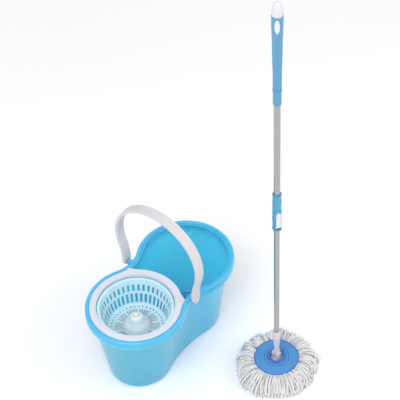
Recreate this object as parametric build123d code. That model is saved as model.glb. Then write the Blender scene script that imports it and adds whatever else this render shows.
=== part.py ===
from build123d import *
import os
from math import asin, degrees, hypot

# Spin mop set: a two-lobed bucket with a spin basket, and a telescopic mop standing beside it.
# Millimetres, +Z up. X runs along the bucket, basket end at -X. The origin is on the floor, in the
# middle of the set's bounding box.

# ---------------------------------------------------------------- driving dimensions
LOBE_X = 103.0          # each round lobe's centre, from the middle of the bucket
RIM_Z = 240.0           # top of the bucket's rim
RIM_R = 129.0           # outside of the rim round each lobe
RIM_WAIST = 103.0       # outside of the rim at the waist, from the middle
RIM_DEPTH = 22.0        # height of the rim's skirt
MOUTH_R = 114.0         # inside of the mouth round each lobe
FOOT_R = 82.0           # outside of the base round each lobe
FOOT_WAIST = 69.5       # outside of the base at the waist
WALL = 2.6              # bucket wall
FLOOR_TOP = 5.0         # top of the bucket's floor
FOOT_RECESS = 2.0       # hollow under the base, inside the foot ring

COLLAR_Z = 236.0        # ledge inside the rim, which the splash collar lies on
LEDGE_INSET = 11.0      # outer edge of the ledge, in from the rim's outside
LEDGE_T = 3.0
COLLAR_R = 100.7        # opening of the collar
COLLAR_EDGE_R = 120.5   # far edge of the collar, about the basket's axis

BASKET_FLOOR = 153.2    # top of the basket's floor
BASKET_RIM = 231.0
WALL_SLOTS = 41
FLOOR_SLOT_GROUPS = 10
FLOOR_SLOTS_PER_GROUP = 5
EDGE_SLOTS = 40
SPINDLE_R = 4.0
PEDESTAL_TOP = 143.0

PIVOT_X = 2.0           # handle pivots, towards the open tub from the waist
PIVOT_Z = 242.5
STRAP_T = 9.0           # handle strap, thickness
STRAP_HALF_W = 13.5
STRAP_LOW_Y = 114.0     # strap's middle at the pivots
BOW_R = 129.0           # middle of the round bow of the handle
BOW_UP = 111.5          # bow's centre above the pivots
PIN_R = 3.0
EAR_R = 6.2             # bucket's ears round the handle pins
EAR_FACE = 109.2        # outside of the ears, from the middle

MOP_DX = 95.0           # mop's axis from the middle of the bucket
MOP_DY = -301.6
STRAND_R = 110.0        # yarn, out from the mop's axis
TILT_Z = 62.0           # tilt pin above the floor
POLE_TOP = 1250.0

LOWER_R = 7.1           # lower tube
UPPER_R = 8.1           # upper tube
LOWER_WALL = 0.7
UPPER_WALL = 0.6
LOWER_END = 113.0
NUT_Z = 700.0           # top end of the lower tube
SLEEVE_Z = 544.0        # lock sleeve, bottom
TUBE_SEAT_Z = 614.0     # bottom end of the upper tube, inside the sleeve
GRIP_Z = 957.0
GRIP_SEAM_Z = 1000.0    # joint between the grip and its collar
GRIP_TOP_Z = 1214.0
UPPER_TOP_Z = 1150.0
ROD_W = 8.0
ROD_T = 2.0
ROD_LEAD = 100.0        # travel for one turn
ROD_Z0 = 672.0
ROD_Z1 = 980.0
SLOT_CLEAR = 0.45       # all round the twisted rod in its nut
LEVER_TURN = -124.0     # direction that the lock lever faces, about +Z
INLAY_TURN = -146.0     # direction that the grip's oval inlay faces
LEVER_PIN_OUT = 10.2    # lever pin from the pole's axis
LEVER_PIN_Z = 607.0

RUN = 0.06              # running clearance of shafts and rings
HUB_TOP = 194.0         # top of the basket's hub, under its knob
SPINDLE_TIP = 189.7
STRAP_STRAIGHT = 12.0   # straight part of the strap above the pivots
STRAP_END = 4.0         # strap's end below the pivots
TAIL = 16.5             # outer tail of the strap below the pivots
EAR_IN = 6.8            # clevis ears, inside and outside faces
EAR_OUT = 10.6
TONGUE_HALF = 6.5       # connector's tongue between the ears
RIVET_Z = 142.0
RIVET_R = 1.6
NUT_GROOVE_R = 5.6      # groove that the guide ring turns in
ANCHOR_Z = 973.0        # rivet through the rod's anchor
BUSH_R = 9.0            # outside of the sleeve's bush
INLAY_Z = 1190.0
INLAY_HALF_W = 5.8
INLAY_HALF_H = 19.2
INLAY_SEAT_R = 11.4     # bottom of the inlay's recess, from the pole's axis
CAP_SPIGOT_R = 9.5

# ---------------------------------------------------------------- places in the set
HANDLE_HALF = BOW_R + STRAP_T / 2
BUCKET_Y = (STRAND_R - MOP_DY - HANDLE_HALF) / 2
BUCKET = Pos(0, BUCKET_Y, 0)
BASKET = Pos(-LOBE_X, BUCKET_Y, 0)
MOP = Pos(MOP_DX, BUCKET_Y + MOP_DY, 0)


# ---------------------------------------------------------------- helpers
def outline(lobe_r, waist):
    """Plan of the bucket at one level: two round lobes joined by two hollow waist arcs."""
    waist_r = (LOBE_X**2 + waist**2 - lobe_r**2) / (2 * (lobe_r - waist))
    share = lobe_r / (lobe_r + waist_r)
    tx = LOBE_X * (1 - share)
    ty = (waist + waist_r) * share
    edges = [
        ThreePointArc((tx, -ty), (LOBE_X + lobe_r, 0), (tx, ty)),
        ThreePointArc((tx, ty), (0, waist), (-tx, ty)),
        ThreePointArc((-tx, ty), (-LOBE_X - lobe_r, 0), (-tx, -ty)),
        ThreePointArc((-tx, -ty), (0, -waist), (tx, -ty)),
    ]
    return make_face(edges)


def rim_offset(inset):
    """The rim's plan, moved inwards."""
    return outline(RIM_R - inset, RIM_WAIST - inset)


def slab(face, z0, z1):
    return extrude(Pos(0, 0, z0) * face, z1 - z0)


def turned(points):
    """Solid of revolution about Z from (radius, z) points."""
    corners = [(r, 0, z) for r, z in points]
    profile = make_face(Polyline(*corners, close=True))
    return revolve(profile, Axis.Z)


def rod_z(r, z0, z1):
    return Pos(0, 0, (z0 + z1) / 2) * Cylinder(r, z1 - z0)


def rod_y(r, y0, y1, z, x=0):
    return Pos(x, (y0 + y1) / 2, z) * Rot(90, 0, 0) * Cylinder(r, abs(y1 - y0))


def ring(r_in, r_out, z0, z1):
    return rod_z(r_out, z0, z1) - rod_z(r_in, z0 - 1, z1 + 1)


def block(x0, x1, y0, y1, z0, z1):
    return Pos((x0 + x1) / 2, (y0 + y1) / 2, (z0 + z1) / 2) * Box(x1 - x0, y1 - y0, z1 - z0)


def taper(foot_r, foot_waist, z0, top_r, top_waist, z1):
    return loft([Pos(0, 0, z0) * outline(foot_r, foot_waist), Pos(0, 0, z1) * outline(top_r, top_waist)])


def edges_at(part, z):
    return part.edges().filter_by_position(Axis.Z, z - 0.01, z + 0.01)


# ---------------------------------------------------------------- bucket
LIP = RIM_R - MOUTH_R - WALL                    # rim's reach beyond the wall
TOP_WAIST = RIM_WAIST - LIP                     # outside of the wall at the waist, at the rim


def wall_plan(z, inset):
    rise = z / RIM_Z
    lobe = FOOT_R + (MOUTH_R + WALL - FOOT_R) * rise - inset
    waist = FOOT_WAIST + (TOP_WAIST - FOOT_WAIST) * rise - inset
    return lobe, waist


def is_inner(edge):
    """True for the rim's top edges along the ledge, and not those along its outside."""
    middle = edge @ 0.5
    inset = LEDGE_INSET - 2
    return abs(middle.X) < LOBE_X + RIM_R - inset and abs(middle.Y) < RIM_WAIST - inset


def make_bucket_shell():
    outer = taper(*wall_plan(0, 0), 0, *wall_plan(RIM_Z, 0), RIM_Z)
    outer = fillet(edges_at(outer, 0), 13)
    rim = slab(rim_offset(0), RIM_Z - RIM_DEPTH, RIM_Z)
    rim = fillet(edges_at(rim, RIM_Z), 6)
    under_rim = slab(rim_offset(WALL), RIM_Z - RIM_DEPTH - 1, COLLAR_Z - LEDGE_T)
    ears = []
    for side in (-1, 1):
        y0, y1 = sorted((side * 98.6, side * EAR_FACE))
        ears.append(rod_y(EAR_R, y0, y1, PIVOT_Z, PIVOT_X))
        ears.append(block(PIVOT_X - EAR_R, PIVOT_X + EAR_R, y0, y1, RIM_Z - 8, PIVOT_Z))
    cavity = taper(*wall_plan(FLOOR_TOP, WALL), FLOOR_TOP, *wall_plan(RIM_Z + 1, WALL), RIM_Z + 1)
    cavity = fillet(edges_at(cavity, FLOOR_TOP), 11)
    ledge = slab(rim_offset(LEDGE_INSET), COLLAR_Z, RIM_Z + 1)
    recess = slab(outline(FOOT_R - 20, FOOT_WAIST - 20), -1, FOOT_RECESS)
    shell = outer + (rim - under_rim) - cavity - ledge - recess
    shell = fillet([edge for edge in edges_at(shell, RIM_Z) if is_inner(edge)], 3.6)
    shell += ears
    shell -= [rod_y(PIN_R, side * 98, side * 120, PIVOT_Z, PIVOT_X) for side in (-1, 1)]
    return BUCKET * shell


def make_splash_collar():
    def trimmed(inset, edge_r, z0, z1):
        whole = slab(rim_offset(inset), z0, z1)
        return whole & (Pos(-LOBE_X, 0, 0) * rod_z(edge_r, z0 - 1, z1 + 1))

    seat = RIM_R - MOUTH_R
    plate = trimmed(seat - 3.6, COLLAR_EDGE_R, COLLAR_Z, COLLAR_Z + 2.5)
    horn = [(-40, 60), (1.5, 60), (-3.8, 68), (-8.2, 76.5), (-12, 85), (-15, 96), (-40, 96)]
    for side in (-1, 1):
        ear = make_face(Polyline(*[(x, side * y) for x, y in horn], close=True))
        plate += slab(ear, COLLAR_Z, COLLAR_Z + 2.5) & slab(rim_offset(seat - 3.6), 230, 240)
    skirt = trimmed(seat + 2.4, COLLAR_EDGE_R - 1.5, COLLAR_Z - 9, COLLAR_Z)
    skirt -= trimmed(seat + 4.4, COLLAR_EDGE_R - 3.5, COLLAR_Z - 10, COLLAR_Z)
    funnel = ring(COLLAR_R, COLLAR_R + 2.2, COLLAR_Z - 5, COLLAR_Z + 3.6)
    mouth = rod_z(COLLAR_R, COLLAR_Z - 1, COLLAR_Z + 4)
    centre = Pos(-LOBE_X, 0, 0)
    collar = plate + skirt + centre * funnel - centre * mouth
    return BUCKET * collar


def make_basket_pedestal():
    outside = [(22, FLOOR_TOP), (40, FLOOR_TOP), (40, 8), (26, 10), (15, 138), (11, PEDESTAL_TOP)]
    inside = [(SPINDLE_R, PEDESTAL_TOP), (SPINDLE_R, 112), (8, 112), (8, 136), (12, 136)]
    return BASKET * turned(outside + inside)


def make_basket_spindle():
    tip = SPINDLE_TIP
    return BASKET * turned([(0, 112), (SPINDLE_R, 112), (SPINDLE_R, tip - 2), (SPINDLE_R - 2, tip), (0, tip)])


def make_thrust_washer():
    return BASKET * ring(SPINDLE_R, 10, PEDESTAL_TOP, PEDESTAL_TOP + 1.6)


def make_handle_pins():
    pins = []
    for side in (-1, 1):
        shank = rod_y(PIN_R, side * 98, side * 119, PIVOT_Z, PIVOT_X)
        head = rod_y(5, side * 118.8, side * 121.2, PIVOT_Z, PIVOT_X)
        pins.append(BUCKET * (shank + head))
    return Compound(children=pins)


# ---------------------------------------------------------------- spin basket
def make_spin_basket():
    outside = [(30.8, 151), (72, 151), (75.6, 153), (77.5, 158), (94.8, 226), (98.9, 228), (98.9, BASKET_RIM)]
    inside = [(93.2, BASKET_RIM), (75.3, 159), (74.2, 155.4), (71.8, BASKET_FLOOR), (33, BASKET_FLOOR)]
    bell_out = [(31.4, 160), (28.8, 168.5), (23.4, 176), (19.4, 183), (17.6, 189), (16.4, 192.6)]
    bell_top = [(14.4, HUB_TOP), (0, HUB_TOP), (0, HUB_TOP - 2), (13.2, HUB_TOP - 2)]
    bell_in = [(15.6, 188.4), (17.4, 182.4), (21.4, 175.2), (26.8, 167.6), (29.3, 159.6)]
    basket = turned(outside + inside + bell_out + bell_top + bell_in)
    cutters = []
    for k in range(WALL_SLOTS):
        upper_turn = Rot(0, 0, 360 * k / WALL_SLOTS)
        lower_turn = Rot(0, 0, 360 * (k + 0.5) / WALL_SLOTS)
        cutters.append(upper_turn * Pos(90, 0, 204.5) * Box(24, 6.4, 21))
        cutters.append(lower_turn * Pos(81, 0, 173.5) * Box(24, 6.8, 29))
    group_turn = 360 / FLOOR_SLOT_GROUPS
    for group in range(FLOOR_SLOT_GROUPS):
        for k in range(FLOOR_SLOTS_PER_GROUP):
            turn = Rot(0, 0, group_turn * (group + (k + 0.9) / (FLOOR_SLOTS_PER_GROUP + 0.8)))
            cutters.append(turn * Pos(46.3, 0, 152) * Box(24.6, 2.4, 6))
    for k in range(EDGE_SLOTS):
        turn = Rot(0, 0, 360 * k / EDGE_SLOTS)
        cutters.append(turn * Pos(67.4, 0, 152) * Rot(0, 0, 35) * Box(6.6, 3, 6))
    return BASKET * (basket - cutters)


def make_basket_bush():
    z = HUB_TOP - 2
    bore = SPINDLE_R + RUN
    outside = [(bore, 146), (8, 146), (8, z - 7), (12.9, z - 7), (12.9, z), (0, z)]
    return BASKET * turned(outside + [(0, SPINDLE_TIP + 0.3), (bore, SPINDLE_TIP + 0.3)])


def make_hub_knob():
    z = HUB_TOP
    return BASKET * turned([(0, z), (8.6, z), (8.3, z + 5), (6.8, z + 9.6), (3.6, z + 12.6), (0, z + 13.6)])


# ---------------------------------------------------------------- bail handle
def strap_edge(off):
    """One long edge of the strap in the handle's plane, moved out from its middle line."""
    drop_to = STRAP_STRAIGHT
    rise = BOW_UP - drop_to
    step = BOW_R - STRAP_LOW_Y
    bend_r = (step**2 + rise**2) / (4 * step)
    half = degrees(asin(rise / 2 / bend_r))
    low = STRAP_LOW_Y + off
    return [
        Line((low, 0), (low, drop_to)),
        CenterArc((STRAP_LOW_Y + bend_r, drop_to), bend_r - off, 180 - half, half),
        CenterArc((BOW_R - bend_r, BOW_UP), bend_r + off, -half, half),
        CenterArc((0, BOW_UP), BOW_R + off, 0, 180),
        CenterArc((bend_r - BOW_R, BOW_UP), bend_r + off, 180, half),
        CenterArc((-STRAP_LOW_Y - bend_r, drop_to), bend_r - off, 0, half),
        Line((-low, drop_to), (-low, 0)),
    ]


def make_bail_handle():
    half_t = STRAP_T / 2
    ends = [
        Line((side * (STRAP_LOW_Y - half_t), 0), (side * (STRAP_LOW_Y + half_t), 0)) for side in (-1, 1)
    ]
    bow = make_face(strap_edge(half_t) + strap_edge(-half_t) + ends)
    strap = extrude(Plane.YZ * bow, STRAP_HALF_W, both=True)
    handle = strap
    y_in = STRAP_LOW_Y - half_t
    y_out = STRAP_LOW_Y + half_t
    for side in (-1, 1):
        end = block(-STRAP_HALF_W, STRAP_HALF_W, *sorted((side * y_in, side * y_out)), -STRAP_END, 0.5)
        handle += fillet(end.edges().filter_by(Axis.Y).sort_by(Axis.Z)[:2], 3)
        tail = block(-6, 6, *sorted((side * (y_out - 4), side * y_out)), -TAIL + 6, 0)
        handle += tail + rod_y(6, side * (y_out - 4), side * y_out, -TAIL + 6)
    handle -= rod_y(PIN_R + RUN, -120, 120, 0)
    return BUCKET * Pos(PIVOT_X, 0, PIVOT_Z) * handle


# ---------------------------------------------------------------- mop head
def make_head_disc():
    top = [(0, 36), (18.5, 36), (18.5, 46.6), (55.6, 43.6), (55.6, 40.5), (58, 40.5), (58, 44.6)]
    crown = [(56.6, 46), (24.6, 49.2), (24.2, 50.2), (22.8, 50.2), (22.4, 49.4), (19, 49.6), (18.5, 51.6)]
    well = [(16.5, 51.6), (16.5, 38.5), (0, 38.5)]
    return MOP * turned(top + crown + well)


def make_strand_ring():
    return MOP * turned([(30, 37), (61.5, 37), (61.5, 43), (60.5, 44), (58.4, 44), (58.4, 40.2), (30, 40.2)])


def make_mop_strands():
    under = [(0, 0), (98, 0), (106, 4), (STRAND_R, 14), (STRAND_R, 22), (104, 32), (92, 41), (76, 47)]
    return MOP * turned(under + [(66, 46.5), (62.2, 44), (62.2, 36.6), (25, 36.6), (25, 35.6), (0, 35.6)])


def make_swivel_clevis():
    clevis = rod_z(15.5, 38.5, 43)
    for side in (-1, 1):
        y0, y1 = sorted((side * EAR_IN, side * EAR_OUT))
        clevis += block(-7.5, 7.5, y0, y1, 42, TILT_Z) + rod_y(7.5, y0, y1, TILT_Z)
    return MOP * (clevis - rod_y(2.5, -14, 14, TILT_Z))


def make_tilt_pin():
    pin = rod_y(2.5, -EAR_OUT - 0.5, EAR_OUT + 0.5, TILT_Z)
    for side in (-1, 1):
        pin += rod_y(3.6, side * EAR_OUT, side * (EAR_OUT + 1.4), TILT_Z)
    return MOP * pin


# ---------------------------------------------------------------- lower pole
def make_pole_connector():
    body = [(0, 74), (6.9, 74), (7, 90), (7.6, 100), (9, 116), (11, 130), (11.6, 138), (11.3, 150)]
    tongue = block(-7, 7, -TONGUE_HALF, TONGUE_HALF, TILT_Z, 75)
    tongue += rod_y(7, -TONGUE_HALF, TONGUE_HALF, TILT_Z)
    connector = turned(body + [(10.8, 156), (0, 156)]) + tongue
    connector -= rod_z(LOWER_R, LOWER_END, 157)
    connector -= rod_y(2.5 + RUN, -12, 12, TILT_Z)
    return MOP * (connector - rod_y(RIVET_R, -15, 15, RIVET_Z))


def make_connector_rivet():
    rivet = rod_y(RIVET_R, -11.7, 11.7, RIVET_Z)
    for side in (-1, 1):
        rivet += rod_y(3, side * 11.6, side * 12.4, RIVET_Z)
    return MOP * rivet


def make_lower_tube():
    tube = ring(LOWER_R - LOWER_WALL, LOWER_R, LOWER_END, NUT_Z)
    return MOP * (tube - rod_y(RIVET_R, -15, 15, RIVET_Z))


def twisted_bar(width, thick, z0, z1):
    """Flat bar twisted left-handed about Z, in step with every other one made here."""
    turn = -360 / ROD_LEAD
    flat = Pos(0, 0, z0) * Rot(0, 0, turn * (z0 - ROD_Z0)) * Rectangle(width, thick)
    return Solid.extrude_linear_with_rotation(flat.face(), (0, 0, z0), (0, 0, z1 - z0), turn * (z1 - z0))


def make_drive_nut():
    plug_r = LOWER_R - LOWER_WALL
    groove = [(LOWER_R, NUT_Z), (LOWER_R, 703), (NUT_GROOVE_R, 703), (NUT_GROOVE_R, 711), (LOWER_R, 711)]
    nut = turned([(0, 684), (plug_r, 684), (plug_r, NUT_Z)] + groove + [(LOWER_R, 714), (0, 714)])
    slot = twisted_bar(ROD_W + 2 * SLOT_CLEAR, ROD_T + 2 * SLOT_CLEAR, 683, 715)
    return MOP * (nut - slot)


def make_guide_ring():
    return MOP * ring(NUT_GROOVE_R + RUN, UPPER_R - UPPER_WALL - RUN, 703.2, 710.8)


# ---------------------------------------------------------------- upper pole
def make_upper_tube():
    tube = ring(UPPER_R - UPPER_WALL, UPPER_R, TUBE_SEAT_Z, UPPER_TOP_Z)
    return MOP * (tube - rod_y(1.5, -12, 12, ANCHOR_Z))


def make_twisted_rod():
    bar = twisted_bar(ROD_W, ROD_T, ROD_Z0, ROD_Z1)
    return MOP * (bar - rod_y(1.5, -12, 12, ANCHOR_Z))


def make_rod_anchor():
    plug = rod_z(UPPER_R - UPPER_WALL, ROD_Z1 - 14, ROD_Z1 + 10)
    plug -= rod_z(hypot(ROD_W, ROD_T) / 2 + RUN, ROD_Z1 - 15, ROD_Z1)
    return MOP * (plug - rod_y(1.5, -12, 12, ANCHOR_Z))


def make_anchor_rivet():
    half = UPPER_R - 0.2
    return MOP * rod_y(1.5, -half, half, ANCHOR_Z)


def lever_arch(half_w, z_low, z_top):
    """Outline of the lever seen from its front: square foot, round top."""
    arch = Rectangle(2 * half_w, z_top - half_w - z_low)
    return Pos(0, (z_top - half_w + z_low) / 2) * arch + Pos(0, z_top - half_w) * Circle(half_w)


def make_lock_sleeve():
    z = SLEEVE_Z
    flank = [(10.3, z), (10.9, z + 4), (10.9, z + 18), (10.5, z + 41), (10.2, z + 70), (10.2, z + 96)]
    collar = [(10.4, z + 116), (10.8, z + 119), (10.8, z + 123), (10.4, z + 124), (0, z + 124)]
    sleeve = turned([(0, z)] + flank + collar)
    housing = block(0, 12.3, -8.2, 8.2, z + 3, LEVER_PIN_Z + 11)
    housing = fillet(housing.edges().filter_by(Axis.Z).sort_by(Axis.X)[-2:], 2.5)
    sleeve += fillet(housing.edges().filter_by(Axis.Y).sort_by(Axis.X)[-2:], 3)
    sleeve -= rod_z(BUSH_R, z - 1, z + 9)
    sleeve -= rod_z(UPPER_R - UPPER_WALL, z, TUBE_SEAT_Z)
    sleeve -= rod_z(UPPER_R, TUBE_SEAT_Z, z + 130)
    pocket = extrude(Plane.YZ * lever_arch(6.5, z + 9, LEVER_PIN_Z + 5.6), 20)
    sleeve -= pocket - rod_z(7, z, z + 120)
    sleeve -= Pos(LEVER_PIN_OUT, 0, 0) * rod_y(1.1, -9, 9, LEVER_PIN_Z)
    return MOP * Rot(0, 0, LEVER_TURN) * sleeve


def make_sleeve_bush():
    return MOP * ring(LOWER_R + RUN, BUSH_R, SLEEVE_Z + 1.5, SLEEVE_Z + 8.5)


def make_lock_lever():
    plate = extrude(Plane.YZ * Pos(0, 0, 9.8) * lever_arch(6.2, 560, LEVER_PIN_Z + 3.4), 3.2)
    knuckle = Pos(LEVER_PIN_OUT, 0, 0) * rod_y(2.6, -4.5, 4.5, LEVER_PIN_Z)
    lever = plate + knuckle - Pos(LEVER_PIN_OUT, 0, 0) * rod_y(1.1 + RUN, -9, 9, LEVER_PIN_Z)
    return MOP * Rot(0, 0, LEVER_TURN) * lever


def make_lever_pin():
    return MOP * Rot(0, 0, LEVER_TURN) * Pos(LEVER_PIN_OUT, 0, 0) * rod_y(1.1, -8.2, 8.2, LEVER_PIN_Z)


GRIP_PROFILE = [(10.4, 1000), (10.4, 1047), (11.3, 1081), (11.85, 1115), (12.3, 1148), (13.3, 1181)]


def grip_solid(extra):
    points = [(r + extra, z) for r, z in GRIP_PROFILE + [(13.7, GRIP_TOP_Z)]]
    return turned([(0, GRIP_SEAM_Z)] + points + [(0, GRIP_TOP_Z)])


def inlay_prism():
    oval = Ellipse(INLAY_HALF_W, INLAY_HALF_H)
    prism = extrude(Plane.YZ * Pos(0, INLAY_Z) * oval, 30)
    return Rot(0, 0, INLAY_TURN) * (prism - rod_z(INLAY_SEAT_R, 1100, 1250))


def make_grip_sleeve():
    grip = grip_solid(0) - rod_z(UPPER_R, GRIP_SEAM_Z - 1, UPPER_TOP_Z)
    grip -= rod_z(CAP_SPIGOT_R, GRIP_TOP_Z - 12, GRIP_TOP_Z + 1)
    return MOP * (grip - inlay_prism())


def make_grip_inlay():
    return MOP * (inlay_prism() & grip_solid(0.4))


def make_grip_collar():
    z = GRIP_Z
    outside = [(UPPER_R, z), (9.9, z), (10.1, z + 1), (10.2, z + 38), (10.7, z + 39.5), (10.7, z + 42)]
    return MOP * turned(outside + [(10.4, GRIP_SEAM_Z), (UPPER_R, GRIP_SEAM_Z)])


def make_end_cap():
    z = GRIP_TOP_Z
    spigot = [(0, z - 11), (CAP_SPIGOT_R, z - 11), (CAP_SPIGOT_R, z)]
    dome = [(13, z), (13.1, z + 8), (12.5, z + 16), (10.6, z + 24), (7.6, z + 30.4), (3.6, z + 34.8)]
    return MOP * turned(spigot + dome + [(0, POLE_TOP)])


# ---------------------------------------------------------------- the set
MAKERS = {
    "bucket_shell": make_bucket_shell,
    "splash_collar": make_splash_collar,
    "basket_pedestal": make_basket_pedestal,
    "basket_spindle": make_basket_spindle,
    "thrust_washer": make_thrust_washer,
    "handle_pins": make_handle_pins,
    "bail_handle": make_bail_handle,
    "spin_basket": make_spin_basket,
    "basket_bush": make_basket_bush,
    "hub_knob": make_hub_knob,
    "head_disc": make_head_disc,
    "strand_ring": make_strand_ring,
    "mop_strands": make_mop_strands,
    "swivel_clevis": make_swivel_clevis,
    "tilt_pin": make_tilt_pin,
    "pole_connector": make_pole_connector,
    "connector_rivet": make_connector_rivet,
    "lower_tube": make_lower_tube,
    "drive_nut": make_drive_nut,
    "guide_ring": make_guide_ring,
    "upper_tube": make_upper_tube,
    "twisted_rod": make_twisted_rod,
    "rod_anchor": make_rod_anchor,
    "anchor_rivet": make_anchor_rivet,
    "lock_sleeve": make_lock_sleeve,
    "sleeve_bush": make_sleeve_bush,
    "lock_lever": make_lock_lever,
    "lever_pin": make_lever_pin,
    "grip_sleeve": make_grip_sleeve,
    "grip_inlay": make_grip_inlay,
    "grip_collar": make_grip_collar,
    "end_cap": make_end_cap,
}

os.makedirs("parts", exist_ok=True)
for name, make in MAKERS.items():
    export_step(make(), f"parts/{name}.step")
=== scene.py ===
import math
import random

import bmesh
import bpy
from mathutils import Matrix, Vector, noise


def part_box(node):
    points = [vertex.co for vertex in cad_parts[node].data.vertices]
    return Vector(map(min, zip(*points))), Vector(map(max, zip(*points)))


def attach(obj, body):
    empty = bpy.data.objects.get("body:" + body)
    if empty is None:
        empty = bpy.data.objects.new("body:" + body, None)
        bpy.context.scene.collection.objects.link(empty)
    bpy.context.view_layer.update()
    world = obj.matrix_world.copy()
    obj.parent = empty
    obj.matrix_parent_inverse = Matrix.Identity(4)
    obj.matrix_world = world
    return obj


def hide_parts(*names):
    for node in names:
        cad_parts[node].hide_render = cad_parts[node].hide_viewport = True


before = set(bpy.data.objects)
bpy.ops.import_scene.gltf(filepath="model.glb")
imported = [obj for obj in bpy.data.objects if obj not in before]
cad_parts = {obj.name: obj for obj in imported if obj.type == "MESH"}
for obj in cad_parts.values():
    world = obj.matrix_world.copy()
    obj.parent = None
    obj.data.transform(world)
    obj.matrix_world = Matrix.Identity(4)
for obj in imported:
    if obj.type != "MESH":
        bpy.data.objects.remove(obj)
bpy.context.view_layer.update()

TAU = 2 * math.pi


# ---------------------------------------------------------------- places, from the frame
def centre(node):
    low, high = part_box(node)
    return (low + high) / 2


def polar(axis, r, a, z):
    """Point at radius r and angle a round a vertical axis."""
    return Vector((axis.x + r * math.cos(a), axis.y + r * math.sin(a), z))


BASKET = centre("spin_basket")
MOP = centre("head_disc")
PINS = centre("handle_pins")
COLLAR_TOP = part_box("splash_collar")[1].z
GRIP_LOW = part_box("grip_sleeve")[0].z
CAP_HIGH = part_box("end_cap")[1].z


# ---------------------------------------------------------------- camera
# Fitted to the photo's bucket: viewing direction, and the eye's place from the collar's middle.
LOOK = (0.5568, 0.4031, -0.7262)
EYE_FROM_COLLAR = (-1.9759, -1.8645, 3.2333)
COLLAR_LIP = 0.0036
SENSOR = 36
LENS = 148.2
SHIFT = (-0.183, 0.0032)


def make_camera():
    data = bpy.data.cameras.new("photo_camera")
    camera = bpy.data.objects.new("photo_camera", data)
    bpy.context.collection.objects.link(camera)
    look = Vector(LOOK).normalized()
    right = look.cross(Vector((0, 0, 1))).normalized()
    up = right.cross(look)
    eye = Vector((BASKET.x, BASKET.y, COLLAR_TOP - COLLAR_LIP)) + Vector(EYE_FROM_COLLAR)
    camera.matrix_world = Matrix((
        (right.x, up.x, -look.x, eye.x),
        (right.y, up.y, -look.y, eye.y),
        (right.z, up.z, -look.z, eye.z),
        (0, 0, 0, 1),
    ))
    data.sensor_width = SENSOR
    data.lens = LENS
    data.shift_x, data.shift_y = SHIFT
    data.clip_start = 0.1
    data.clip_end = 60
    bpy.context.scene.camera = camera


make_camera()
bpy.context.scene.view_settings.view_transform = "Standard"


# ---------------------------------------------------------------- materials
def lin(r, g, b):
    """Linear colour from screen values, 0 to 255."""
    def one(v):
        v /= 255
        return v / 12.92 if v <= 0.04045 else ((v + 0.055) / 1.055) ** 2.4

    return one(r), one(g), one(b)


def tint(colour, k):
    """Colour made k times as bright."""
    return tuple(min(1.0, c * k) for c in colour)


class Nodes:
    """A material's node tree, with short calls to add and join nodes."""

    def __init__(self, name):
        self.material = bpy.data.materials.new(name)
        self.material.use_nodes = True
        self.tree = self.material.node_tree
        self.tree.nodes.clear()
        self.out = self.add("ShaderNodeOutputMaterial")
        self.shader = self.add("ShaderNodeBsdfPrincipled")
        self.join(self.shader, "BSDF", self.out, "Surface")
        self.place = self.add("ShaderNodeTexCoord")

    def add(self, kind, **values):
        node = self.tree.nodes.new(kind)
        for key, value in values.items():
            setattr(node, key, value)
        return node

    def join(self, a, out, b, into):
        self.tree.links.new(a.outputs[out], b.inputs[into])

    def noise(self, scale, detail=3.0, rough=0.5, stretch=None):
        node = self.add("ShaderNodeTexNoise")
        node.inputs["Scale"].default_value = scale
        node.inputs["Detail"].default_value = detail
        node.inputs["Roughness"].default_value = rough
        if stretch:
            mapping = self.add("ShaderNodeMapping")
            mapping.inputs["Scale"].default_value = stretch
            self.join(self.place, "Object", mapping, "Vector")
            self.join(mapping, "Vector", node, "Vector")
        else:
            self.join(self.place, "Object", node, "Vector")
        return node

    def ramp(self, source, stops):
        node = self.add("ShaderNodeValToRGB")
        ramp = node.color_ramp
        while len(ramp.elements) < len(stops):
            ramp.elements.new(0.5)
        for element, (at, colour) in zip(ramp.elements, stops):
            element.position = at
            element.color = (*colour, 1)
        self.join(source, "Fac", node, "Fac")
        return node

    def span(self, source, low, high):
        """The middle of a noise's range, mapped to low..high."""
        node = self.add("ShaderNodeMapRange")
        node.inputs["From Min"].default_value = 0.3
        node.inputs["From Max"].default_value = 0.7
        node.inputs["To Min"].default_value = low
        node.inputs["To Max"].default_value = high
        self.join(source, "Fac", node, "Value")
        return node

    def bump(self, source, distance, strength, before=None):
        node = self.add("ShaderNodeBump")
        node.inputs["Distance"].default_value = distance
        node.inputs["Strength"].default_value = strength
        self.join(source, "Fac", node, "Height")
        if before:
            self.join(before, "Normal", node, "Normal")
        return node

    def set(self, **values):
        for key, value in values.items():
            self.shader.inputs[key.replace("_", " ")].default_value = value


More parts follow.
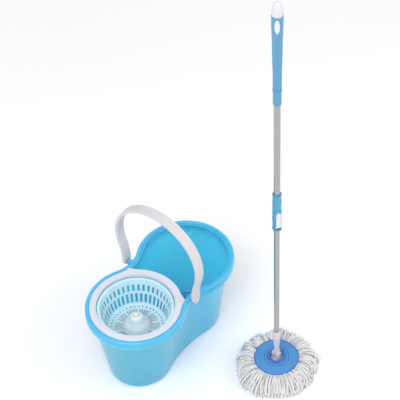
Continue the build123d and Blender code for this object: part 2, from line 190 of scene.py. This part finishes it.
def moulded(name, colour, rough, vary, grain=900, edge=0.0006, sub=0.0, depth=0.0, through=0.0, coat=0.0):
    """Injection-moulded plastic: colour that varies a little, fine skin, softened edges.

    edge is the bevel's radius, sub and depth the light scattered inside, through the share let through.
    """
    n = Nodes(name)
    cloud = n.noise(14, 4)
    shade = n.ramp(cloud, [(0.3, tint(colour, 1 - vary)), (0.7, tint(colour, 1 + vary))])
    n.join(shade, "Color", n.shader, "Base Color")
    n.set(Roughness=rough)
    soft = None
    if edge:
        soft = n.add("ShaderNodeBevel", samples=6)
        soft.inputs["Radius"].default_value = edge
    skin = n.noise(grain, 2)
    fine = n.bump(skin, 0.00005, 0.35, soft)
    flow = n.noise(24, 2, 0.4)
    wavy = n.bump(flow, 0.0005, 0.12, fine)
    n.join(wavy, "Normal", n.shader, "Normal")
    if sub:
        n.set(Subsurface_Weight=sub, Subsurface_Radius=(0.5, 0.85, 1.0), Subsurface_Scale=depth)
    if coat:
        n.set(Coat_Weight=coat, Coat_Roughness=0.12)
    if through:
        glow = n.add("ShaderNodeBsdfTranslucent")
        n.join(shade, "Color", glow, "Color")
        mix = n.add("ShaderNodeMixShader")
        mix.inputs["Fac"].default_value = through
        n.join(n.shader, "BSDF", mix, 1)
        n.join(glow, "BSDF", mix, 2)
        n.join(mix, "Shader", n.out, "Surface")
    return n.material


def metal(name, colour, rough, brush, streak):
    """Polished metal with faint draw marks along Z."""
    n = Nodes(name)
    marks = n.noise(1, 3, 0.6, (brush, brush, brush / 900))
    shade = n.ramp(marks, [(0.42, tint(colour, 1 - streak)), (0.58, tint(colour, 1 + streak))])
    n.join(shade, "Color", n.shader, "Base Color")
    gloss = n.span(marks, rough * 0.75, rough * 1.3)
    n.join(gloss, "Result", n.shader, "Roughness")
    lines = n.bump(marks, 0.00002, 0.25)
    n.join(lines, "Normal", n.shader, "Normal")
    n.set(Metallic=1.0)
    return n.material


def pile(name, light, dark):
    """Microfibre yarn: tufted pile, in patches of light and dark."""
    n = Nodes(name)
    tufts = n.noise(900, 4, 0.65)
    clumps = n.noise(60, 3, 0.55)
    shade = n.ramp(clumps, [(0.32, dark), (0.62, light)])
    flecks = n.ramp(tufts, [(0.3, (0.78, 0.78, 0.8)), (0.6, (1.0, 1.0, 1.0))])
    mix = n.add("ShaderNodeMix", data_type="RGBA", blend_type="MULTIPLY")
    mix.inputs["Factor"].default_value = 0.8
    n.tree.links.new(shade.outputs["Color"], mix.inputs[6])
    n.tree.links.new(flecks.outputs["Color"], mix.inputs[7])
    n.tree.links.new(mix.outputs[2], n.shader.inputs["Base Color"])
    rows = n.bump(tufts, 0.0012, 0.8)
    n.join(rows, "Normal", n.shader, "Normal")
    rough = n.span(tufts, 0.82, 0.98)
    n.join(rough, "Result", n.shader, "Roughness")
    n.set(Sheen_Weight=0.35, Sheen_Roughness=0.5, Specular_IOR_Level=0.15)
    n.set(Subsurface_Weight=0.7, Subsurface_Radius=(1.0, 1.0, 1.0), Subsurface_Scale=0.005)
    return n.material


SKY = moulded("sky_moulded", lin(73, 176, 226), 0.3, 0.03, edge=0, sub=1.0, depth=0.022, coat=0.15)
WHITE = moulded("white_moulded", lin(218, 215, 224), 0.36, 0.02)
STRAP = moulded("strap_moulded", lin(206, 203, 208), 0.42, 0.03)
FROSTED = moulded("frosted_moulded", lin(202, 235, 248), 0.3, 0.03, edge=0, sub=0.6, depth=0.005)
HUB = moulded("hub_moulded", lin(219, 232, 238), 0.32, 0.02, edge=0, sub=0.4, depth=0.003)
COLLAR = moulded("collar_moulded", lin(208, 213, 227), 0.34, 0.02)
CONNECTOR = moulded("connector_moulded", lin(204, 201, 205), 0.4, 0.03)
# Darker royal blue for rings that stand in for shade: painted shade at the disc's edge and round its well.
ROYAL_PAINTED_SHADE = moulded("royal_painted_shade_moulded", lin(54, 92, 184), 0.34, 0.05)
ROYAL = moulded("royal_moulded", lin(70, 138, 196), 0.36, 0.06)
GRIP = moulded("grip_moulded", lin(77, 147, 185), 0.34, 0.04, grain=1500, coat=0.2)
GRIP_DARK = moulded("grip_ring_moulded", lin(54, 118, 158), 0.4, 0.04, grain=1500)
SLEEVE = moulded("sleeve_moulded", lin(60, 152, 186), 0.3, 0.04, grain=1500, coat=0.3)
NYLON = moulded("nylon_moulded", lin(214, 212, 206), 0.5, 0.04)
KNOB = moulded("knob_moulded", lin(232, 222, 214), 0.35, 0.02)
CAP = moulded("cap_moulded", lin(234, 234, 238), 0.3, 0.02, through=0.3)
CHROME = metal("chrome_drawn", (0.40, 0.388, 0.40), 0.08, 700, 0.06)
STEEL = metal("steel_drawn", (0.62, 0.62, 0.64), 0.25, 700, 0.06)
YARN = pile("microfibre_pile", lin(232, 231, 229), lin(216, 217, 219))
# The core's pile is a little darker than the loops: painted shade in the gaps between the loops.
YARN_CORE_SHADED = pile("microfibre_core_painted_shade", lin(228, 228, 230), lin(208, 208, 212))

BY_SLOT = {
    "sky_plastic": SKY,
    "white_plastic": WHITE,
    "strap_plastic": STRAP,
    "frosted_plastic": FROSTED,
    "royal_plastic": ROYAL,
    "grip_plastic": GRIP,
    "nylon": NYLON,
    "chrome_tube": CHROME,
    "steel": STEEL,
    "microfibre": YARN,
}
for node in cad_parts.values():
    for holder in node.material_slots:
        holder.material = BY_SLOT[holder.material.name]
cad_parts["hub_knob"].material_slots[0].material = KNOB
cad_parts["splash_collar"].material_slots[0].material = COLLAR
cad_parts["lock_sleeve"].material_slots[0].material = SLEEVE
for name in ("pole_connector", "swivel_clevis"):
    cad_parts[name].material_slots[0].material = CONNECTOR


# ---------------------------------------------------------------- meshes
def piece(name, verts, faces, body, material, instead_of=()):
    """A smooth mesh that rides a body, normals outward. instead_of names the CAD nodes it replaces."""
    mesh = bpy.data.meshes.new(name)
    mesh.from_pydata([tuple(v) for v in verts], [], faces)
    mesh.validate()
    shell = bmesh.new()
    shell.from_mesh(mesh)
    bmesh.ops.recalc_face_normals(shell, faces=shell.faces)
    shell.to_mesh(mesh)
    shell.free()
    mesh.polygons.foreach_set("use_smooth", [True] * len(mesh.polygons))
    mesh.materials.append(material)
    obj = bpy.data.objects.new(name, mesh)
    bpy.context.collection.objects.link(obj)
    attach(obj, body)
    if instead_of:
        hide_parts(*instead_of)
    return obj


def skin(rings, loop=False):
    """Faces between rings of equal length. The ends meet in a loop, or a fan closes each of them."""
    verts = [v for ring in rings for v in ring]
    size = len(rings[0])
    faces = []
    for i in range(len(rings) if loop else len(rings) - 1):
        a, b = i * size, (i + 1) % len(rings) * size
        for j in range(size):
            k = (j + 1) % size
            faces.append((a + j, a + k, b + k, b + j))
    if not loop:
        for base, flip in ((0, True), ((len(rings) - 1) * size, False)):
            middle = sum((Vector(v) for v in verts[base : base + size]), Vector()) / size
            verts.append(middle)
            at = len(verts) - 1
            for j in range(size):
                k = (j + 1) % size
                a, b = base + j, base + k
                faces.append((b, a, at) if flip else (a, b, at))
    return verts, faces


def lathe(profile, axis, sides, shape=None, loop=False):
    """A turned shape. profile is (radius, z) points; shape(radius, z, angle) may change the radius."""
    rings = []
    for radius, z in profile:
        ring = []
        for j in range(sides):
            a = TAU * j / sides
            r = shape(radius, z, a) if shape else radius
            ring.append(polar(axis, r, a, z))
        rings.append(ring)
    return skin(rings, loop)


def bar(axis, a, section):
    """Rings of a bar that follows the angle a. section holds lists of (radius, sideways, z) points."""
    across = Vector((-math.sin(a), math.cos(a), 0))
    return skin([[polar(axis, r, a, z) + side * across for r, side, z in ring] for ring in section])


def merge(parts):
    """One mesh from several (verts, faces) pairs."""
    verts, faces = [], []
    for more, joins in parts:
        at = len(verts)
        verts += more
        faces += [tuple(v + at for v in face) for face in joins]
    return verts, faces


def smooth_step(t):
    """0 below 0, 1 above 1, and an even S between."""
    t = min(1.0, max(0.0, t))
    return t * t * (3 - 2 * t)


def curve_through(points, step):
    """Even points along a Catmull-Rom line through these (radius, z) points."""
    dense = []
    for i in range(len(points) - 1):
        p0 = Vector(points[max(i - 1, 0)])
        p1 = Vector(points[i])
        p2 = Vector(points[i + 1])
        p3 = Vector(points[min(i + 2, len(points) - 1)])
        count = max(2, int((p2 - p1).length / step))
        for k in range(count):
            t = k / count
            bend = (2 * p0 - 5 * p1 + 4 * p2 - p3) * t**2
            twist = (3 * p1 - p0 - 3 * p2 + p3) * t**3
            dense.append(0.5 * ((2 * p1) + (p2 - p0) * t + bend + twist))
    dense.append(Vector(points[-1]))
    return dense


# ---------------------------------------------------------------- handle
# Heights are above the pivots, and widths are half of the whole.
STRAP_LOW = 0.114  # middle line out from the pivots' middle, at the strap's foot
BOW_R = 0.129
BOW_UP = 0.1115
STRAIGHT = 0.012
FOOT_DROP = 0.004
STRAP_HALF_W = 0.0135
STRAP_HALF_T = 0.0045
STRAP_CORNER = 0.0022
FOOT_ROUND = 0.003
TAIL_OUT = 0.1165
TAIL_HALF_W = 0.006
TAIL_HALF_T = 0.002
TAIL_TOP = 0.004
TAIL_LENGTH = 0.0205
TAIL_ROUND_FROM = -0.0105
TAIL_SQUARENESS = 0.45


def strap_line():
    """Middle line of the handle's strap from one pivot over to the other: (y, z) about the pivots."""
    rise = BOW_UP - STRAIGHT
    step = BOW_R - STRAP_LOW
    bend = (step**2 + rise**2) / (4 * step)
    half = math.asin(rise / 2 / bend)
    side = []
    for k in range(33):
        left = (1 - k / 32) ** 2
        side.append((STRAP_LOW, STRAIGHT * (1 - left) - FOOT_DROP * left))
    for k in range(1, 25):
        a = half * k / 24
        side.append((STRAP_LOW + bend - bend * math.cos(a), STRAIGHT + bend * math.sin(a)))
    for k in range(1, 25):
        a = half * (1 - k / 24)
        side.append((BOW_R - bend + bend * math.cos(a), BOW_UP - bend * math.sin(a)))
    bow = []
    for k in range(1, 96):
        a = math.pi * k / 96
        bow.append((BOW_R * math.cos(a), BOW_UP + BOW_R * math.sin(a)))
    return side + bow + [(-y, z) for y, z in reversed(side)]


def strap_half_width(z):
    drop = min(1.0, max(0.0, (FOOT_ROUND - FOOT_DROP - z) / FOOT_ROUND))
    return STRAP_HALF_W - FOOT_ROUND * (1 - math.sqrt(1 - drop**2))


def strap_section(half_w, half_t):
    """Rounded strip with a shallow ridged channel down its broad faces: (across, out) points."""
    corner = min(STRAP_CORNER, half_w * 0.6)
    points = []
    for turn, (sx, sy) in enumerate(((1, 1), (-1, 1), (-1, -1), (1, -1))):
        cx, cy = sx * (half_w - corner), sy * (half_t - corner)
        for k in range(6):
            a = math.pi / 2 * (turn + k / 5)
            points.append((cx + corner * math.cos(a), cy + corner * math.sin(a)))
        if turn in (0, 2):
            for k in range(1, 24):
                x = cx * (1 - 2 * k / 24)
                share = abs(x) / half_w
                channel = 0.0007 * smooth_step((0.72 - share) / 0.1)
                dip = channel - 0.0004 * smooth_step((0.16 - share) / 0.08)
                points.append((x, sy * (half_t - dip)))
        else:
            for k in range(1, 6):
                points.append((sx * half_w, (half_t - corner) * (1 - 2 * k / 6) * sy))
    return points


def make_handle():
    line = strap_line()
    rings = []
    for i, (y, z) in enumerate(line):
        before = line[max(i - 1, 0)]
        after = line[min(i + 1, len(line) - 1)]
        along = Vector((0, after[0] - before[0], after[1] - before[1])).normalized()
        out = Vector((0, along.z, -along.y))
        half_w = strap_half_width(z)
        rings.append([
            Vector((PINS.x + across, PINS.y + y, PINS.z + z)) + off * out
            for across, off in strap_section(half_w, STRAP_HALF_T)
        ])
    verts, faces = skin(rings)
    piece("handle_strap", verts, faces, "handle", STRAP, ["bail_handle"])
    for side in (-1, 1):
        rings = []
        for k in range(33):
            z = TAIL_TOP - TAIL_LENGTH * k / 32
            drop = TAIL_ROUND_FROM - z
            half_w = TAIL_HALF_W if drop <= 0 else math.sqrt(max(TAIL_HALF_W**2 - drop**2, 1e-9))
            y = PINS.y + side * TAIL_OUT
            ring = []
            for j in range(32):
                a = TAU * j / 32
                c, s = math.cos(a), math.sin(a)
                x = half_w * math.copysign(abs(c) ** TAIL_SQUARENESS, c)
                t = TAIL_HALF_T * math.copysign(abs(s) ** TAIL_SQUARENESS, s)
                ring.append(Vector((PINS.x + x, y + t, PINS.z + z)))
            rings.append(ring)
        verts, faces = skin(rings)
        label = "left" if side > 0 else "right"
        piece(f"handle_tail_{label}", verts, faces, "handle", STRAP)


make_handle()


# ---------------------------------------------------------------- mop yarn
PLIES = 3
STRAND_SIDES = 12
FLOOR_GAP = 0.0034  # least height of a strand's middle line
YARN_LAYERS = (
    # name, loops, strand radius, then (r, z) of root, belly, shoulder and tip
    ("yarn_top", 50, 0.0029, (0.0565, 0.0405), (0.073, 0.0555), (0.0985, 0.050), (0.0985, 0.020)),
    ("yarn_upper", 54, 0.0028, (0.0575, 0.0375), (0.076, 0.0480), (0.1010, 0.040), (0.0995, 0.013)),
    ("yarn_middle", 58, 0.0028, (0.0585, 0.0330), (0.077, 0.0400), (0.0985, 0.027), (0.1000, 0.0075)),
    ("yarn_lower", 62, 0.0028, (0.0585, 0.0260), (0.077, 0.0290), (0.0930, 0.013), (0.1000, 0.0040)),
)
CORE_LINE = (
    (0.026, 0.0365), (0.058, 0.0400), (0.071, 0.0475), (0.084, 0.0430), (0.0925, 0.0300),
    (0.0955, 0.0140), (0.090, 0.0030), (0.06, 0.0012), (0.02, 0.001),
)
CORE_STEP = 0.003


class Waves:
    """Smooth uneven function of the angle, about -1 to 1."""

    def __init__(self, seed, orders):
        rng = random.Random(seed)
        self.terms = [(k, rng.uniform(0.5, 1.0), rng.uniform(0, TAU)) for k in orders]
        self.total = sum(w for _, w, _ in self.terms)

    def __call__(self, a):
        return sum(w * math.sin(k * a + p) for k, w, p in self.terms) / self.total * 1.6


def bezier(p, t):
    """Point at t on the cubic curve with these four (radius, z) controls."""
    s = 1 - t
    weights = (s**3, 3 * s * s * t, 3 * s * t * t, t**3)
    return tuple(sum(w * q[i] for w, q in zip(weights, p)) for i in (0, 1))


def strand_tube(points, radius, phase, verts, faces):
    """A three-ply twisted strand along points, added to verts and faces."""
    base = len(verts)
    sides = STRAND_SIDES
    normal = None
    travelled = 0.0
    count = len(points)
    for i, p in enumerate(points):
        along = (points[min(i + 1, count - 1)] - points[max(i - 1, 0)]).normalized()
        if normal is None:
            normal = along.cross(Vector((0, 0, 1))).normalized()
        normal = (normal - along * normal.dot(along)).normalized()
        other = along.cross(normal)
        if i:
            travelled += (p - points[i - 1]).length
        swell = 1 + 0.1 * noise.noise(Vector((travelled * 160, phase, 0.3)))
        for j in range(sides):
            a = TAU * j / sides
            ply = 0.86 + 0.14 * abs(math.cos(PLIES / 2 * (a - travelled * 420 - phase)))
            r = radius * ply * swell
            q = p + (normal * math.cos(a) + other * math.sin(a)) * r
            q.z = max(q.z, 0.0002)
            verts.append(q)
    for i in range(count - 1):
        for j in range(sides):
            k = (j + 1) % sides
            a = base + i * sides
            faces.append((a + j, a + k, a + sides + k, a + sides + j))
    for at, flip in ((base, True), (base + (count - 1) * sides, False)):
        order = [at + j for j in range(sides)]
        faces.append(tuple(reversed(order)) if flip else tuple(order))


def loop_line(angle, legs, spread, lean, bow):
    """Points of one loop: out along one leg, round its end and back along the other."""
    halves = []
    for side in (-1, 1):
        half = []
        for k in range(27):
            t = k / 26
            r, z = bezier(legs, t)
            gap = spread[0] + (spread[1] - spread[0]) * t
            a = angle + side * gap / r + lean * t * t + bow * math.sin(math.pi * t) * side
            half.append(polar(MOP, r, a, z))
        halves.append(half)
    left, right = halves
    end = (left[-1] + right[-1]) / 2
    reach = (left[-1] - right[-1]).length / 2
    forward = ((left[-1] - left[-2]) + (right[-1] - right[-2])).normalized()
    across = (right[-1] - left[-1]).normalized()
    turn = []
    for k in range(1, 9):
        a = math.pi * k / 9
        q = end - across * reach * math.cos(a) + forward * reach * 1.25 * math.sin(a)
        q.z = max(q.z, FLOOR_GAP)
        turn.append(q)
    return left + turn + list(reversed(right))


def make_yarn():
    clump = Waves(3, (7, 11, 13, 17))
    swell = Waves(5, (3, 5, 8, 14, 19))
    reach = Waves(9, (2, 5, 9, 16, 21))
    for layer, (name, count, radius, *legs) in enumerate(YARN_LAYERS):
        rng = random.Random(40 + layer)
        verts, faces = [], []
        for i in range(count):
            angle = TAU * (i + 0.5 * (layer % 2) + rng.uniform(-0.18, 0.18)) / count
            puff = swell(angle + layer) * 0.0042 + rng.uniform(-0.0018, 0.0018)
            far = reach(angle) * 0.007 + rng.uniform(-0.004, 0.004)
            shaped = []
            for k, (r, z) in enumerate(legs):
                weight = (0, 0.5, 1, 1)[k]
                lift = (0, 1, 1, 0.3)[k]
                shaped.append((r + far * weight, max(z + puff * lift, FLOOR_GAP)))
            lean = clump(angle + 0.1 * layer) * 0.11 + rng.uniform(-0.035, 0.035)
            spread = (radius * 0.95, radius * rng.uniform(1.1, 1.9))
            line = loop_line(angle, shaped, spread, lean, rng.uniform(-0.004, 0.01))
            strand_tube(line, radius * rng.uniform(0.93, 1.06), rng.uniform(0, TAU), verts, faces)
        piece(name, verts, faces, "mop_head", YARN)
    profile = curve_through(CORE_LINE, CORE_STEP)
    ridges = Waves(12, (61, 74, 88))

    def lumpy(r, z, a):
        depth = 0.0016 * smooth_step((r - 0.03) / 0.03)
        return r + depth * ridges(a) + 0.001 * noise.noise(Vector((r * 300, z * 300, a * 6)))

    verts, faces = lathe([tuple(p) for p in profile], MOP, 240, lumpy)
    # The core's darker pile is painted shade seen between the loops.
    piece("yarn_core", verts, faces, "mop_head", YARN_CORE_SHADED, ["mop_strands"])


make_yarn()


# ---------------------------------------------------------------- head disc: rings of painted shade, and connector ribs
def torus(centre_r, z, half_w, half_h, sides=128):
    """A flattened ring round the pole's axis."""
    section = []
    for k in range(12):
        a = TAU * k / 12
        section.append((centre_r + half_w * math.cos(a), z + half_h * math.sin(a)))
    rings = []
    for j in range(sides):
        t = TAU * j / sides
        rings.append([polar(MOP, r, t, h) for r, h in section])
    return skin(rings, loop=True)


# Dark rings of painted shade: the disc's shaded side wall and the shadow inside its well.
DISC_RINGS = (
    # name, radius, height, half width, half height
    ("painted_shade_disc_rim", 0.0577, 0.0449, 0.0014, 0.0018),
    ("painted_shade_disc_bead", 0.0320, 0.0485, 0.0009, 0.0006),
    ("painted_shade_well_collar", 0.0236, 0.0500, 0.0013, 0.0007),
    ("painted_shade_well_lip", 0.0181, 0.0512, 0.0011, 0.0010),
)
CONNECTOR_RIBS = ((0.1350, 0.0114), (0.1385, 0.0117), (0.1420, 0.0116), (0.1455, 0.0115), (0.1490, 0.0114))


def make_disc_shade_rings_and_ribs():
    for name, r, z, half_w, half_h in DISC_RINGS:
        verts, faces = torus(r, z, half_w, half_h)
        piece(name, verts, faces, "mop_head", ROYAL_PAINTED_SHADE)
    for k, (z, r) in enumerate(CONNECTOR_RIBS):
        verts, faces = torus(r, z, 0.0005, 0.0009, 96)
        piece(f"connector_rib_{k}", verts, faces, "lower_pole", CONNECTOR)


make_disc_shade_rings_and_ribs()


# ---------------------------------------------------------------- lock sleeve trim
# Heights are above the sleeve's foot.
SLEEVE_RINGS = (("sleeve_foot_ring", 0.0052, 0.0109), ("sleeve_top_ring", 0.1210, 0.0108))
LEVER_TURN = -124  # degrees, where the lever faces
RIB_TOP = 0.114
RIB_FOOT = 0.026
RIB_FOOT_OVER_LEVER = 0.088
RIB_MIDDLE = 0.0102
RIB_DEEP = 0.0009
RIB_HALF_W = 0.0011
SHOULDER = 0.041
SHOULDER_STEP = 0.0005


def make_sleeve_trim():
    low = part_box("lock_sleeve")[0].z
    for name, up, r in SLEEVE_RINGS:
        verts, faces = torus(r, low + up, 0.0007, 0.0016)
        piece(name, verts, faces, "upper_pole", GRIP_DARK)
    ribs = []
    for k in range(12):
        turn = 15 + 30 * k
        base = RIB_FOOT_OVER_LEVER if abs(turn - 180) > 120 else RIB_FOOT
        section = []
        for i in range(13):
            t = i / 12
            z = low + base + (RIB_TOP - base) * t
            swell = math.sin(math.pi * min(1, max(0.02, t * 6), max(0.02, (1 - t) * 6)) / 2)
            middle = RIB_MIDDLE + (SHOULDER_STEP if z < low + SHOULDER else 0)
            ring = []
            for j in range(8):
                b = TAU * j / 8
                ring.append((middle + RIB_DEEP * swell * math.cos(b), RIB_HALF_W * swell * math.sin(b), z))
            section.append(ring)
        ribs.append(bar(MOP, math.radians(LEVER_TURN + turn), section))
    verts, faces = merge(ribs)
    piece("sleeve_ribs", verts, faces, "upper_pole", SLEEVE)


make_sleeve_trim()


# ---------------------------------------------------------------- basket hub
# Outside of the bell from the knob down, and inside of it back up: (radius, z).
HUB_OUTSIDE = (
    (0.0087, 0.1992), (0.0112, 0.1984), (0.0142, 0.1962), (0.0170, 0.1926), (0.0190, 0.1880),
    (0.0212, 0.1826), (0.0248, 0.1764), (0.0298, 0.1690), (0.0330, 0.1615), (0.0360, 0.1548),
)
HUB_INSIDE = (
    (0.0346, 0.1538), (0.0316, 0.1542), (0.0308, 0.1600), (0.0282, 0.1684), (0.0228, 0.1760),
    (0.0188, 0.1830), (0.0170, 0.1888), (0.0150, 0.1928), (0.0100, 0.1938),
)
HUB_RIBS = 36
HUB_RIB_DEEP = 0.0017
HUB_SIDES = 216
FLOOR_TOP = 0.1530
SPOKE_R = (0.0338, 0.0345, 0.0400, 0.0460, 0.0520, 0.0580, 0.0590)
SPOKE_UP = 0.0014
SLOT_GROUPS = 10
SLOTS = 5
SLOT_PITCHES = 5.8  # slot pitches in one group, counting the wide bar between groups


def make_hub_skirt():
    line = [(0.0080, 0.1960)] + [tuple(p) for p in curve_through(HUB_OUTSIDE, 0.0008)]
    line += HUB_INSIDE

    def ribbed(r, z, a):
        amount = smooth_step((0.183 - z) / 0.012) * smooth_step((r - 0.0200) / 0.004)
        return r + HUB_RIB_DEEP * amount * abs(math.cos(HUB_RIBS / 2 * a))

    verts, faces = lathe(line, BASKET, HUB_SIDES, ribbed, loop=True)
    piece("hub_skirt", verts, faces, "basket", HUB)


make_hub_skirt()


def make_floor_ribs():
    """Raised spokes between the slots of the basket's floor."""
    spokes = []
    for group in range(SLOT_GROUPS):
        for k in range(SLOTS):
            last = k == SLOTS - 1
            wide = 0.0022 if last else 0.0011
            a = math.radians(360 / SLOT_GROUPS * (group + (k + 1.4 + 0.4 * last) / SLOT_PITCHES))
            section = []
            for r in SPOKE_R:
                slim = 0.55 if r in (SPOKE_R[0], SPOKE_R[-1]) else 1.0
                ring = []
                for j in range(10):
                    b = TAU * j / 10
                    up = FLOOR_TOP + SPOKE_UP * slim * max(math.sin(b), -0.3)
                    ring.append((r, wide * slim * math.cos(b), up))
                section.append(ring)
            spokes.append(bar(BASKET, a, section))
    verts, faces = merge(spokes)
    piece("floor_ribs", verts, faces, "basket", HUB)


make_floor_ribs()


# ---------------------------------------------------------------- grip and cap
# (radius, height above the grip's foot)
GRIP_OUTLINE = (
    (0.0104, 0.0), (0.0104, 0.047), (0.0113, 0.081), (0.01185, 0.115),
    (0.0123, 0.148), (0.0133, 0.181), (0.0137, 0.214),
)
GRIP_FOOT = ((0.0082, 0.0), (0.0099, 0.0), (0.0103, 0.0006))
GRIP_HEAD = ((0.01365, 0.2134), (0.0132, 0.214), (0.0095, 0.214))
FLUTES = 7
FLUTE_DEEP = 0.0018
FLUTE_TURN = -144  # degrees

# (radius, height above the cap's seat)
CAP_HEIGHT = 0.036
CAP_SEAT = (
    (0.0095, -0.011), (0.0095, 0.0002), (0.0126, 0.0003), (0.01305, 0.0009),
    (0.0131, 0.0060), (0.01285, 0.0066), (0.0127, 0.0072),
)
CAP_DOME = (
    (0.01285, 0.0078), (0.01295, 0.011), (0.0125, 0.0158), (0.0106, 0.0236),
    (0.0078, 0.0298), (0.0048, 0.0338), (0.0022, 0.0355), (0.0004, 0.0360),
)


def make_grip():
    line = list(GRIP_FOOT)
    line += [tuple(p) for p in curve_through(GRIP_OUTLINE, 0.0015)[1:-1] if p.y < 0.2132]
    line += GRIP_HEAD

    def fluted(r, z, a):
        up = z - GRIP_LOW
        amount = smooth_step((up - 0.004) / 0.006) * smooth_step((0.152 - up) / 0.03)
        groove = (0.5 + 0.5 * math.cos(FLUTES * (a - math.radians(FLUTE_TURN)))) ** 1.5
        return r - FLUTE_DEEP * groove * amount

    verts, faces = lathe([(r, GRIP_LOW + up) for r, up in line], MOP, 192, fluted)
    piece("grip_body", verts, faces, "upper_pole", GRIP, ["grip_sleeve"])

    seat = CAP_HIGH - CAP_HEIGHT
    line = list(CAP_SEAT) + [tuple(p) for p in curve_through(CAP_DOME, 0.001)]
    verts, faces = lathe([(r, seat + up) for r, up in line], MOP, 96)
    piece("pole_cap", verts, faces, "upper_pole", CAP, ["end_cap"])


make_grip()


SEAM_RINGS = (
    # name, height above the grip's foot, radius, material
    ("grip_seam_light", -0.0006, 0.01035, GRIP),
    ("grip_seam_dark", 0.0030, 0.0100, GRIP_DARK),
)


def make_grip_rings():
    for name, up, r, material in SEAM_RINGS:
        verts, faces = torus(r, GRIP_LOW + up, 0.0006, 0.0012, 96)
        piece(name, verts, faces, "upper_pole", material)


make_grip_rings()


# ---------------------------------------------------------------- studio
FLOOR_HALF = 9
WORLD_STRENGTH = 0.74
LIGHTS = (
    # name, place, aim, diameter, power in watts
    ("studio_key", (-2.0, -0.6, 3.3), (0, 0, 0.2), 2.4, 70),
    ("studio_fill", (1.6, -2.8, 2.4), (0, 0, 0.4), 2.6, 34),
)


def stage_plane():
    mesh = bpy.data.meshes.new("studio_floor")
    corners = [(x * FLOOR_HALF, y * FLOOR_HALF, 0) for x, y in ((-1, -1), (1, -1), (1, 1), (-1, 1))]
    mesh.from_pydata(corners, [], [(0, 1, 2, 3)])
    floor = bpy.data.objects.new("studio_floor", mesh)
    bpy.context.collection.objects.link(floor)
    n = Nodes("studio_white")
    cloud = n.noise(1.5, 3)
    shade = n.ramp(cloud, [(0.2, (0.93, 0.93, 0.93)), (0.8, (0.96, 0.96, 0.96))])
    n.join(shade, "Color", n.shader, "Base Color")
    n.set(Roughness=0.9, Specular_IOR_Level=0.1)
    mesh.materials.append(n.material)


def area_light(name, place, aim, size, power):
    data = bpy.data.lights.new(name, "AREA")
    data.shape = "DISK"
    data.size = size
    data.energy = power
    lamp = bpy.data.objects.new(name, data)
    bpy.context.collection.objects.link(lamp)
    lamp.location = place
    lamp.rotation_euler = (Vector(aim) - Vector(place)).to_track_quat("-Z", "Y").to_euler()


def make_studio():
    stage_plane()
    world = bpy.data.worlds.new("studio_sky")
    world.use_nodes = True
    background = world.node_tree.nodes["Background"]
    background.inputs["Color"].default_value = (1, 1, 1, 1)
    background.inputs["Strength"].default_value = WORLD_STRENGTH
    bpy.context.scene.world = world
    for light in LIGHTS:
        area_light(*light)


make_studio()
